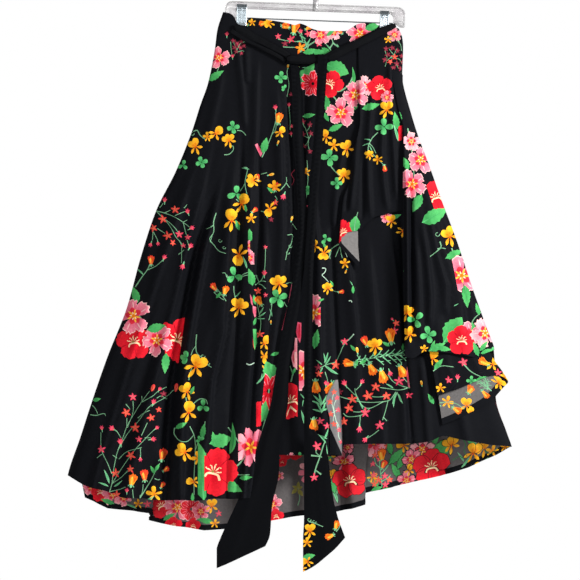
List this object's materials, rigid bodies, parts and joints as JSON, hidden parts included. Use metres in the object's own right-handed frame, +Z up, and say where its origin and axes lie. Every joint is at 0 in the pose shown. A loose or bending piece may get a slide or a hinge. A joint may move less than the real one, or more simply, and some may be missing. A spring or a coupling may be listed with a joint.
{
  "type": "wrap skirt on clip hanger",
  "caption": "Long A-line wrap skirt with a flounced, stepped hem and a long front tie, pinched by its waist in two clips on a clear hanger.",
  "frame": {"origin": "inner top of the hanger's wire hook, where a rail or wall peg carries it", "axes": "+Z up along the hanging direction, +X to the viewer's right seen from the front, -Y out of the front of the skirt"},
  "size_m": [0.8919, 0.1414, 1.2056],
  "materials": {
    "printed_cloth": "smooth black dress cloth with a bright printed flower pattern, soft low sheen",
    "wrong_side": "grey wrong side of the printed cloth",
    "plain_tie": "plain black knit cloth, matt",
    "clear_plastic": "clear moulded plastic, glossy",
    "bright_metal": "bright plated steel"
  },
  "bodies": {
    "root": {"front_outer": "printed_cloth", "front_under": "printed_cloth", "front_turned_edge": "wrong_side", "front_drape": "printed_cloth", "side_flounce": "printed_cloth", "side_tier": "printed_cloth", "back_panel": "printed_cloth", "tie_left_band": "plain_tie", "tie_left_cord": "plain_tie", "tie_right": "plain_tie", "tie_knot": "plain_tie", "tail_left": "plain_tie", "tail_right": "plain_tie", "hanger_frame": "clear_plastic", "hanger_rod": "bright_metal", "hanger_hook": "bright_metal", "clip_left_front": "bright_metal", "clip_left_back": "bright_metal", "clip_left_spring": "bright_metal", "clip_right_front": "bright_metal", "clip_right_back": "bright_metal", "clip_right_spring": "bright_metal"}
  },
  "joints": []
}
